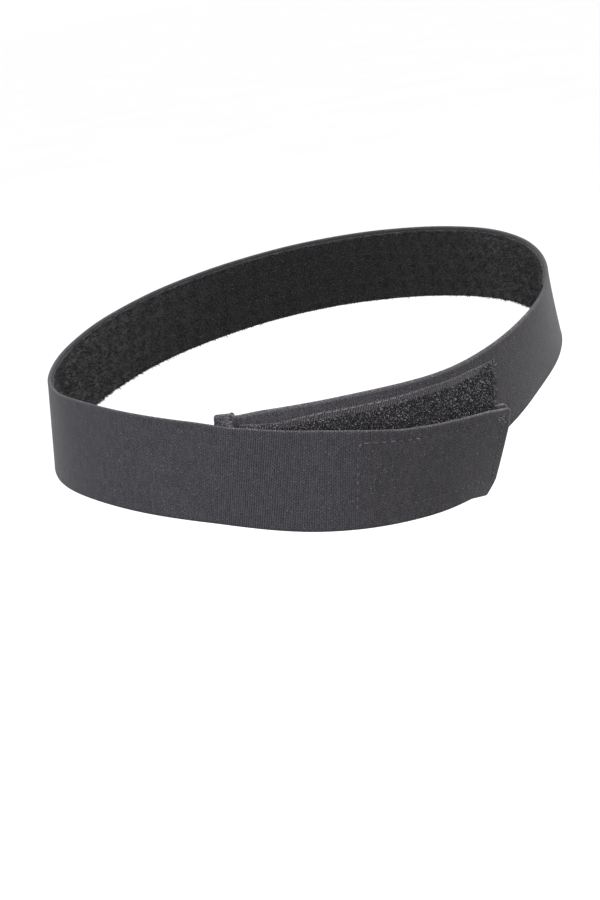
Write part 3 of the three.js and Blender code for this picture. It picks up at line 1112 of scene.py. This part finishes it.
def make_loop_stitch():
    """Stitches round the loop tape's edges, with a painted highlight along the middle of its upper edge."""
    left = LOOP_TAPE["start"] + LOOP_STITCH_SPARE
    right = LOOP_TAPE["end"] - LOOP_STITCH_SPARE
    low = LOOP_TAPE["low"] + LOOP_STITCH_INSET
    high = LOOP_TAPE["high"] - LOOP_STITCH_INSET
    lines = [
        ((left, high), (right, high)),
        ((left, high), (left, low)),
        ((left, low), (right, low)),
        ((right, high), (right, low)),
    ]
    rows = [row_ends(start, end, *LOOP_STITCH) for start, end in lines]
    ends = np.concatenate(rows)
    shades = RANDOM.uniform(*LOOP_STITCH_SHADES, len(ends))
    upper = len(rows[0])
    shades[:upper] *= from_rows(LOOP_STITCH_PAINTED_HIGHLIGHT, np.linspace(0, 1, upper))
    lengths, lanes, depths = loop_tape_warp(ends[..., 0], ends[..., 1], LOOP_TAPE["outer"])
    ends = np.stack([lengths, lanes], axis=-1)
    return make_stitches("loop_tape_stitch", ends, depths, 0, LOOP_STITCH_RADIUS, shades)


def make_hem_stitch():
    """Two rough zigzags over the hem's raw edge, a tangle of thread ends, and the knot at the top."""
    inner_edge = (HEM_LENGTH, 0)
    zigzags = [zigzag_ends(inner_edge, *zigzag) for zigzag in HEM_ZIGZAGS]
    knot = np.add(inner_edge, HEM_KNOT)
    rough = np.concatenate([*zigzags, thread_ends(inner_edge, *HEM_TANGLE)])
    ends = np.concatenate([rough + RANDOM.normal(0, HEM_ROUGHNESS, rough.shape), knot])
    shades = RANDOM.uniform(*HEM_SHADES, len(ends))
    shades[-len(knot):] *= KNOT_TONE
    depth = STRIP_THICKNESS + LAYER_STEP
    return make_stitches("hem_zigzag_stitch", ends, depth, 0, ZIGZAG_RADIUS, shades)


def make_fold_stitch():
    """Zigzag that holds the fold at the tab's end, with thread ends over its upper corner."""
    tab_end = (TAB_LENGTH, 0)
    zigzag = zigzag_ends(tab_end, *FOLD_ZIGZAG)
    tangle = thread_ends(tab_end, *FOLD_TANGLE)
    ends = np.concatenate([zigzag, tangle])
    # Painted light: the zigzag's stitches darken from its top downwards
    painted_fade = np.clip(np.linspace(*FOLD_PAINTED_FADE, len(zigzag)), *FOLD_PAINTED_FADE_LIMITS)
    shades = painted_fade * RANDOM.uniform(*FOLD_SHADE_SPREAD, len(zigzag))
    shades = np.concatenate([shades, RANDOM.uniform(*FOLD_TANGLE_SHADES, len(tangle))])
    return make_stitches("fold_zigzag_stitch", ends, STRIP_THICKNESS, -LAYER_STEP, ZIGZAG_RADIUS, shades)


# Stage, light and camera

# The floor, in metres
FLOOR_RADIUS = 40
FLOOR_HEIGHT = -0.34
FLOOR_CORNERS = 96

# Light from all round: its strength grows between two heights of its direction
SKY = {"From Min": -0.35, "From Max": -0.02, "To Min": 0.4, "To Max": 1.1}

# Soft boxes that face the band: name, place and width in metres, and power in watts
SOFT_BOXES = (
    ("top_box", (0.1, 0.3, 1.6), 1.4, 6),
    ("left_box", (1.2, 1.3, 0.7), 1.0, 2),
    ("right_box", (-1.3, -1.3, 0.5), 1.0, 19),
    ("back_box", (-0.4, 1.6, 0.7), 1.0, 6),
)


def make_floor():
    bpy.ops.mesh.primitive_circle_add(
        vertices=FLOOR_CORNERS, radius=FLOOR_RADIUS, fill_type="NGON", location=(0, 0, FLOOR_HEIGHT),
    )
    floor = bpy.context.object
    floor.name = "floor"
    floor.data.materials.append(floor_finish())
    floor.visible_diffuse = False
    floor.visible_glossy = False


def area_light(name, location, size, power):
    """Soft box that faces the band."""
    data = bpy.data.lights.new(name, "AREA")
    data.shape = "DISK"
    data.size = size
    data.energy = power
    light = bpy.data.objects.new(name, data)
    light.location = location
    light.rotation_mode = "QUATERNION"
    light.rotation_quaternion = (-Vector(location)).to_track_quat("-Z", "Y")
    bpy.context.scene.collection.objects.link(light)


def make_light():
    world = bpy.data.worlds.new("studio")
    world.use_nodes = True
    nodes = world.node_tree.nodes
    links = world.node_tree.links
    direction = nodes.new("ShaderNodeTexCoord")
    parts = nodes.new("ShaderNodeSeparateXYZ")
    strength = nodes.new("ShaderNodeMapRange")
    for socket, value in SKY.items():
        strength.inputs[socket].default_value = value
    links.new(direction.outputs["Generated"], parts.inputs[0])
    links.new(parts.outputs["Z"], strength.inputs["Value"])
    links.new(strength.outputs[0], nodes["Background"].inputs["Strength"])
    nodes["Background"].inputs["Color"].default_value = (1, 1, 1, 1)
    bpy.context.scene.world = world
    for box in SOFT_BOXES:
        area_light(*box)
    bpy.context.scene.view_settings.view_transform = "Standard"


def make_camera():
    turn = Matrix.Rotation(math.radians(CAMERA_AZIMUTH), 4, "Z")
    tilt = Matrix.Rotation(math.radians(90 - CAMERA_ELEVATION), 4, "X")
    roll = Matrix.Rotation(math.radians(CAMERA_ROLL), 4, "Z")
    spot = Vector((CAMERA_SIDE, CAMERA_RISE, CAMERA_DISTANCE)) / METRE
    data = bpy.data.cameras.new("camera")
    data.sensor_width = SENSOR
    data.lens = FOCAL_PIXELS / IMAGE_HEIGHT * SENSOR
    data.clip_start = CAMERA_CLIP_START / METRE
    data.clip_end = CAMERA_CLIP_END / METRE
    camera = bpy.data.objects.new("camera", data)
    camera.matrix_world = turn @ tilt @ roll @ Matrix.Translation(spot)
    bpy.context.scene.collection.objects.link(camera)
    bpy.context.scene.camera = camera


# The whole band

def make_band():
    strip, strip_size = make_strip()
    loop_weave = tape_finish("loop_tape_weave", LOOP_WEAVE_LIGHT, LOOP_TAPE)
    loop_tape, loop_size = make_ground("loop_tape", LOOP_TAPE, loop_weave, loop_tape_warp)
    hook_weave = tape_finish("hook_tape_weave", HOOK_WEAVE_LIGHT, HOOK_TAPE)
    hook_tape, hook_size = make_ground("hook_tape", HOOK_TAPE, hook_weave)
    lining, lining_size = make_ground("grip_lining", LINING, lining_finish())
    strip_stitches = [make_box_stitch(), make_hem_stitch(), make_fold_stitch()]
    loops = [make_loops(), make_loop_stitch()]
    make_hooks()
    make_plush()


make_camera()
make_floor()
make_light()
make_band()
